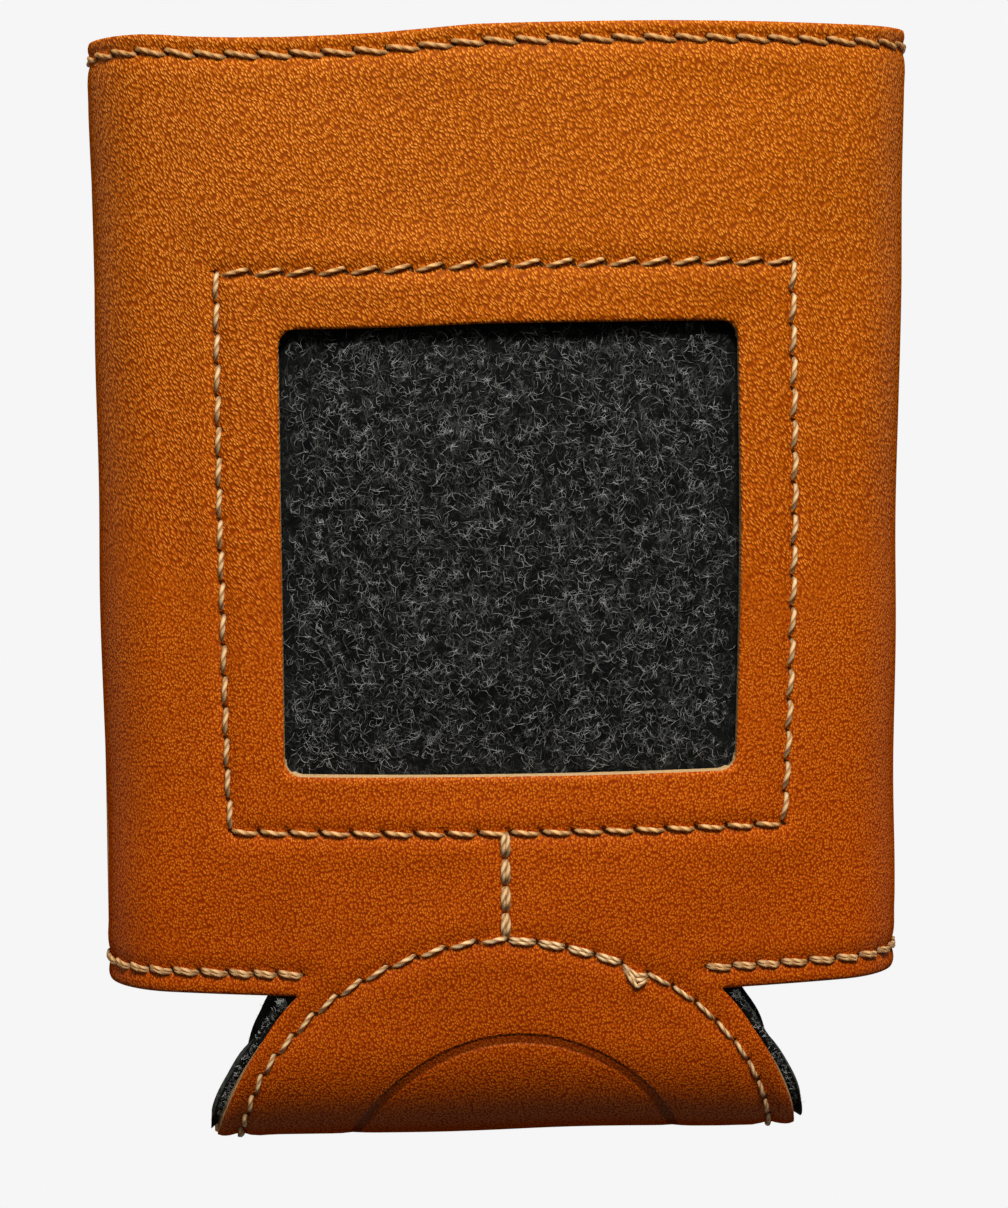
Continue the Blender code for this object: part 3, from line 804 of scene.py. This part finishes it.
def fibre_mesh(name, across, along, depth, length, seed, lift):
    """Three-sided hairs that start at flat points and curl over the felt.

    Each hair's heading turns by a steady bend plus a sine along its length, and its height over
    the felt follows an arc. The hair is thinnest at both ends.
    """
    chance = np.random.default_rng(seed)
    steps = 5
    count = len(across)
    share = np.linspace(0, 1, steps)[None, :]
    heading = chance.uniform(0, 2 * np.pi, (count, 1))
    bend = chance.choice([-1.0, 1.0], (count, 1)) * chance.uniform(0.8, 4.2, (count, 1))
    swing = chance.uniform(0.3, 1.3, (count, 1)) * np.sin(share * chance.uniform(3, 8, (count, 1)))
    angle = heading + bend * share + swing
    step = length[:, None] / (steps - 1)
    run_across = across[:, None] + np.cumsum(np.cos(angle) * step, axis=1)
    run_along = along[:, None] + np.cumsum(np.sin(angle) * step, axis=1)
    over = lift[:, None] * np.sin(np.pi * np.clip(share * 1.15, 0, 1)) ** 0.7
    centre = place(*handmade(run_across, run_along), depth[:, None] - over)
    tangent = unit(np.gradient(centre, axis=1))
    side = unit(np.cross(tangent, (0.12, 0.21, 0.97)))
    radius = 0.000010 + 0.000013 * np.sin(np.pi * (0.08 + 0.84 * share))
    turns = np.broadcast_to(2 * np.pi * np.arange(3) / 3, (count, steps, 3))
    return tube_mesh(name, centre, side, np.cross(side, tangent), turns, radius[..., None])[0]


WINDOW_HAIRS = 6500
EDGE_HAIRS = 1100
chance = np.random.default_rng(7)
window_across = chance.uniform(-1, 1, WINDOW_HAIRS) * (WINDOW_HALF - 0.0012)
window_along = WINDOW_MIDDLE + chance.uniform(-1, 1, WINDOW_HAIRS) * (WINDOW_HEIGHT / 2 - 0.0012)
window_length = chance.uniform(0.0010, 0.0030, WINDOW_HAIRS)
window_lift = chance.uniform(0.00005, 0.0004, WINDOW_HAIRS)
edge_along = chance.uniform(-0.9, 0.9, EDGE_HAIRS) * DISC_HALF_LENGTH
edge_along = np.clip(edge_along, -NECK_LENGTH + 0.001, NECK_LENGTH - 0.001)
edge_across = (chance.choice([-1.0, 1.0], EDGE_HAIRS)
               * (disc_half_width(edge_along, FELT_MARGIN) - 0.0006))
edge_length = chance.uniform(0.0004, 0.0010, EDGE_HAIRS)
edge_lift = chance.uniform(0.0, 0.0002, EDGE_HAIRS)
hair_across = np.append(window_across, felt_cut(edge_across, edge_along))
hair_along = np.append(window_along, edge_along)
root_depth = np.repeat([0.00004, -0.0001], [WINDOW_HAIRS, EDGE_HAIRS])
hairs_mesh = fibre_mesh(
    "felt_fibres", hair_across, hair_along, felt_relief(hair_across, hair_along) + root_depth,
    np.append(window_length, edge_length), 11, np.append(window_lift, edge_lift))
wool, _, wool_shader, wool_at = new_material("wool_fibre")
wool_tone = ramp(noise(wool_at, 900.0, 2.0), 0.36, 0.74)
fill(wool_shader, {"Base Color": blend(wool_tone, (0.08, 0.08, 0.075, 1), (0.62, 0.615, 0.575, 1)),
                   "Roughness": 0.8})
felt_fibres = add_piece("felt_fibres", hairs_mesh, wool, "felt")
2 * SEAM_EDGE


# Thread of the rows: three-ply waxed linen, saddle stitched by hand. Every stitch comes out of one
# pricked slot, lies slanted over the leather and dives into the next slot.
THREAD_DIAMETER = 0.00080
THREAD_SIDES = 12
TWIST_LENGTH = 0.0042
UNDER = LINING_FACE + 0.0004


def thread_material(name, crown_colour, waxed_colour):
    """Linen thread: streaks along each ply. The grooves between the plies and the ends that dive
    into the slots are painted darker, as painted shade, and rows take the second colour, painted
    light, by their share of it.
    """
    material, tree, shader, at = new_material(name)
    ply = node(tree, "UVMap", uv_map="ply")
    run, around = part_of(ply, 0), part_of(ply, 1)
    wave = abs(math(tree, "FRACT", around * 3.0) - 0.5)
    streaks = noise(node(tree, "CombineXYZ", {0: run * 1.2, 1: around * 26.0}), 1.6, 2.0)
    buried, wax = (node(tree, "Attribute", output="Fac", attribute_name=label)
                   for label in ("buried", "wax"))
    # Painted shade: the grooves between the plies are painted darker.
    base = blend(1 - ramp(wave, 0.12, 0.50), (0.40, 0.17, 0.036, 1),
                 blend(wax, crown_colour, waxed_colour))
    base = shaded(base, tint(at, 0.004, 0.15) * (streaks * 0.5 + 0.75))
    # Painted shade: each stitch is painted darker where it dives into its slot, by its buried
    # share.
    fill(shader, {"Base Color": blend(buried * 0.85, base, (0.12, 0.038, 0.005, 1)),
                  "Normal": raised(streaks, 0.00006, 0.8),
                  "Roughness": 0.50, "Specular IOR Level": 0.40})
    return material


def twisted_threads(name, paths, diameter, buried, wax):
    """Three-ply tubes with a ring of radius R (0.86 + 0.14 cos 3 a) that turns once in each twist
    length, so that its lobes wind round as plies. The ends are small caps.
    """
    tangent = unit(np.gradient(paths, axis=1))
    reference = np.where(np.abs(tangent[..., 2:]) > 0.9, (0.0, 1.0, 0.0), (0.0, 0.0, 1.0))
    side = unit(np.cross(tangent, reference))
    for step in range(1, paths.shape[1]):
        last, ahead = side[:, step - 1], tangent[:, step]
        side[:, step] = unit(last - ahead * np.sum(last * ahead, axis=1, keepdims=True))
    run = running_sum(np.linalg.norm(np.diff(paths, axis=1), axis=2))
    around = np.arange(THREAD_SIDES) / THREAD_SIDES
    angle = 2 * np.pi * (around - run[:, :, None] / TWIST_LENGTH
                         + np.arange(len(paths))[:, None, None] * 0.37)
    lobes = 0.86 + 0.14 * np.cos(6 * np.pi * around)
    radius = np.broadcast_to(np.reshape(diameter, (-1, 1, 1)) / 2 * lobes, angle.shape).copy()
    radius[:, [0, -1]] *= 0.25
    mesh, quads, caps = tube_mesh(
        name, paths, side, np.cross(side, tangent), angle, radius,
        buried=np.repeat(buried.ravel(), THREAD_SIDES),
        wax=np.repeat(wax, paths.shape[1] * THREAD_SIDES))

    path_point = face_corners(quads, caps)[0] // THREAD_SIDES
    turns = (np.arange(len(quads))[:, None] % THREAD_SIDES + (0, 0, 1, 1)) / THREAD_SIDES
    turns = np.append(turns, np.zeros(caps.size))
    add_uv(mesh, "ply", run.ravel()[path_point] / TWIST_LENGTH, turns)
    return mesh


def stitch_paths(ends, lean, rise=0.25, fall=0.25, overlap=0.06, spread=0.0, sink=0.0,
                 diameter=THREAD_DIAMETER, wax=0.0):
    """Stitches between consecutive holes: flat points, depths, buried shares, diameters and the
    shares of painted light, the thread's second colour.

    A stitch climbs out of its first hole over the share rise, dives into the next over the share
    fall, moves sideways from +lean to -lean and overlaps its neighbours by a share of the pitch.
    With a spread, it is two strands side by side.
    """
    share = np.concatenate(
        [[0.03, 0.07, 0.11], np.linspace(0.15, 0.85, 12), [0.89, 0.93, 0.97]])[None, :]
    first = ends[:-1, None]
    direction = ends[1:, None] - first
    sideways = unit(direction[..., ::-1] * (-1, 1))
    ahead = share * (1 + 2 * overlap) - overlap
    up = np.minimum(smooth((share - 0.03) / rise), smooth((0.97 - share) / fall))
    depth = 0.00085 + sink - 0.00084 * up - 0.00006 * np.sin(np.pi * share)
    buried = 1 - np.minimum(smooth((share - 0.05) / rise / 1.25),
                            smooth((0.95 - share) / fall / 1.25))
    strands = (-spread / 2, spread / 2) if spread else (0.0,)
    offsets = [lean * np.cos(np.pi * share) + strand * np.sin(np.pi * share) ** 0.5
               for strand in strands]
    flat = np.concatenate([first + ahead[..., None] * direction + offset[..., None] * sideways
                           for offset in offsets])
    count = len(flat)
    return (flat, np.repeat(depth, count, axis=0), np.repeat(buried, count, axis=0),
            np.full(count, diameter), np.full(count, wax))


def girth_paths(line, start, end, stitches, side, lean, **options):
    """Stitches round the section: laid out straight along its path, then turned to flat points."""
    marks = np.linspace(start, end, stitches + 1)
    ends = np.stack([marks * side, np.full(stitches + 1, line)], axis=-1)
    flat, *others = stitch_paths(ends, lean * side, **options)
    path = (flat[..., 0] + HALF_GIRTH) % (2 * HALF_GIRTH) - HALF_GIRTH
    far = np.abs(path) > HALF_GIRTH / 2
    across = np.where(far, np.sign(path) * HALF_GIRTH - path, path)
    return np.stack([across, np.where(far, -flat[..., 1], flat[..., 1])], axis=-1), *others


# Each thread's second colour is painted light: a row takes it by the share of painted light it is
# given.
linen_thread = thread_material("linen_thread", (0.98, 0.66, 0.33, 1), (0.86, 0.46, 0.15, 1))
# The rim and the bottom rows have a darker brown thread colour.
waxed_thread = thread_material("waxed_linen_thread", (0.62, 0.32, 0.100, 1), (0.80, 0.47, 0.20, 1))


def finish_rows(name, parts, material=linen_thread):
    """Make a row's two pieces from its sets of stitches: on the face and, mirrored, inside."""
    flat, depth, buried, diameter, wax = (np.concatenate(part) for part in zip(*parts))
    across, along = handmade(flat[..., 0], flat[..., 1])
    for kind, frame_kind, level, thread in (("", "top", depth, material),
                                            ("bobbin_", "bobbin", UNDER - depth, linen_thread)):
        piece = f"{name}_{kind}stitches"
        mesh = twisted_threads(piece, place(across, along, level), diameter, buried, wax)
        add_piece(piece, mesh, thread, "thread", f"{name}_{frame_kind}_thread")


# The last number of each side is its share of the thread's second colour, painted light for the
# rows that lie across.
finish_rows("window_frame", [
    stitch_paths(np.linspace(start, end, FRAME_STITCHES + 1), lean, rise, fall,
                 diameter=diameter, wax=wax)
    for start, end, lean, rise, fall, diameter, wax in (
        (top_left, top_right, -0.00044, 0.50, 0.14, 0.00062, 0.9),
        (top_right, bottom_right, 0.00018, 0.14, 0.50, 0.00076, 0.0),
        (top_left, bottom_left, 0.00018, 0.14, 0.50, 0.00076, 0.0),
        (bottom_left, bottom_right, 0.00020, 0.20, 0.34, 0.00068, 0.8))])
finish_rows("connector", [stitch_paths(np.linspace(*connector_ends, CONNECTOR_STITCHES + 1), 0.0,
                                       0.12, 0.46, spread=0.00062, diameter=0.00074)])
finish_rows("rim", [girth_paths(RIM_ROW, *rim_ends, RIM_STITCHES, 1, 0.00038, rise=0.17, fall=0.26,
                                overlap=0.17, sink=0.00015, diameter=0.00070)], waxed_thread)
# The bottom rows take the whole of their thread's second colour, painted light.
for side, name, row_start in ((-1, "left", ROW_START + LEFT_ROW_SHIFT), (1, "right", ROW_START)):
    finish_rows(f"bottom_{name}", [
        girth_paths(BOTTOM_ROW, row_start, HALF_GIRTH - row_start, BOTTOM_STITCHES, side,
                    0.00020 * side, overlap=0.08, spread=0.00034, diameter=0.00062, wax=1.0)],
        waxed_thread)

circle_across, circle_along, circle_stitches = oval_route(1)
circle_holes = np.stack([circle_across, circle_along], axis=-1)
circle_middle = circle_stitches // 2
DOUBLED_STITCHES = 4
knot_end = DOUBLED_STITCHES + 1
circle_parts = [
    stitch_paths(circle_holes[:knot_end], 0.0, spread=0.00040, diameter=0.00064),
    stitch_paths(circle_holes[knot_end:circle_middle + 1], 0.00006, 0.16, 0.40, diameter=0.00062),
    stitch_paths(circle_holes[circle_middle:], -0.00026, 0.50, 0.14, diameter=0.00068)]
for dip in (0.0021, 0.0014, 0.0007):
    knot = stitch_paths(circle_holes[knot_end - 1:knot_end + 1], 0.0, diameter=0.00064)
    share = np.linspace(0, 1, knot[0].shape[1])
    knot[0][0, :, 1] -= dip * (1 - np.abs(2 * share - 1) ** 1.2)
    knot[1][0] -= 0.2 * dip * np.sin(np.pi * share)
    circle_parts.append(knot)
finish_rows("base_circle", circle_parts)


# Side seam threads: whipped stitches inside each side that draw the front and back walls together.
# They cross from one wall to the other over the lining, so they only show when looking in.
SEAM_BITE = 0.0015
ROW_CLEARANCE = 0.0030
seam_start, seam_end = BOTTOM_ROW + ROW_CLEARANCE, RIM_ROW - ROW_CLEARANCE
seam_steps = 2 * round((seam_end - seam_start) / STITCH_PITCH)
whip = np.linspace(0, seam_steps, 12 * seam_steps + 1)
whip_line = seam_start + (seam_end - seam_start) * whip / seam_steps
whip_cross = np.cos(np.pi * whip)
whip_path = HALF_GIRTH / 2 - SEAM_BITE * np.sign(whip_cross) * np.abs(whip_cross) ** 0.7
on_front = whip_path < HALF_GIRTH / 2
for side, name in ((-1, "left"), (1, "right")):
    seam_path = place(side * np.where(on_front, whip_path, HALF_GIRTH - whip_path),
                      np.where(on_front, whip_line, -whip_line), LINING_FACE + THREAD_DIAMETER / 2)
    piece = f"side_seam_{name}_stitches"
    seam_mesh = twisted_threads(piece, seam_path[None], THREAD_DIAMETER,
                                np.zeros((1, len(whip))), np.zeros(1))
    add_piece(piece, seam_mesh, linen_thread, "thread", f"side_seam_{name}_thread")


# Studio: a surface under the sleeve, a soft key light above its rim, and the camera of the photo,
# over the sleeve and a little towards its rim. The surface and the world are plain white to the
# camera only, and light the sleeve more warmly and weakly.
FLOOR_HALF = 3.0
FLOOR_Z = -0.0005
floor_corners = np.array([(-1, -1, 0), (1, -1, 0), (1, 1, 0), (-1, 1, 0)])
floor_mesh = make_mesh("studio_floor", floor_corners * FLOOR_HALF + (0, 0, FLOOR_Z),
                       np.arange(4)[None], np.zeros((0, 3), int))
studio_floor = bpy.data.objects.new("studio_floor", floor_mesh)
bpy.context.scene.collection.objects.link(studio_floor)


def white_to_camera(tree, kind, shader, end):
    """Show plain white to camera rays, from a node of one kind, and the shader to all others."""
    white = node(tree, kind, {"Color": (0.92, 0.92, 0.92, 1), "Strength": 1.0})
    straight = node(tree, "LightPath", output="Is Camera Ray")
    shown = node(tree, "MixShader", {0: straight, 1: Value(tree, shader.outputs[0]), 2: white})
    fill(tree.nodes[end], {"Surface": shown})


white, white_tree, white_shader, _ = new_material("studio_white")
fill(white_shader, {"Base Color": (0.56, 0.42, 0.28, 1), "Roughness": 0.9})
white_to_camera(white_tree, "Emission", white_shader, "Material Output")
floor_mesh.materials.append(white)

world = bpy.data.worlds.new("studio_world")
bpy.context.scene.world = world
world.use_nodes = True
surround = world.node_tree.nodes["Background"]
fill(surround, {"Color": (0.9, 0.9, 0.9, 1), "Strength": 0.07})
white_to_camera(world.node_tree, "Background", surround, "World Output")


def add_light(name, position, target, size, power):
    """Square area light that faces a target."""
    lamp = bpy.data.lights.new(name, "AREA")
    lamp.size = size
    lamp.energy = power
    made = bpy.data.objects.new(name, lamp)
    made.location = position
    away = unit(np.subtract(position, target))
    right = unit(np.cross((0.0, 1.0, 0.1), away))
    axes = np.stack([right, np.cross(away, right), away], axis=1)
    made.rotation_euler = Matrix(axes.tolist()).to_euler()
    bpy.context.scene.collection.objects.link(made)


add_light("key", (0.05, 0.50, 0.42), (0, 0.02, 0.015), 0.20, 5.45)
add_light("fill", (-0.15, 0.30, 0.75), (0, 0, 0.015), 0.50, 0.6)

PITCH, YAW, ROLL = 0.0961, 0.0586, 0.0111
CAMERA_PLACE = (-0.02018, 0.08040 + BASE_Y, 0.360)
FOCAL_PIXELS = 2739.76
IMAGE_HEIGHT = 1208
SENSOR_WIDTH = 36
turned = Euler((PITCH, YAW, ROLL)).to_matrix()
lens = bpy.data.cameras.new("photo_camera")
lens.sensor_fit = "AUTO"
lens.sensor_width = SENSOR_WIDTH
lens.lens = SENSOR_WIDTH * FOCAL_PIXELS / IMAGE_HEIGHT
lens.clip_start = 0.01
camera = bpy.data.objects.new("photo_camera", lens)
camera.matrix_world = Matrix.Translation(CAMERA_PLACE) @ turned.transposed().to_4x4()
bpy.context.scene.collection.objects.link(camera)
bpy.context.scene.camera = camera
bpy.context.scene.view_settings.view_transform = "Standard"
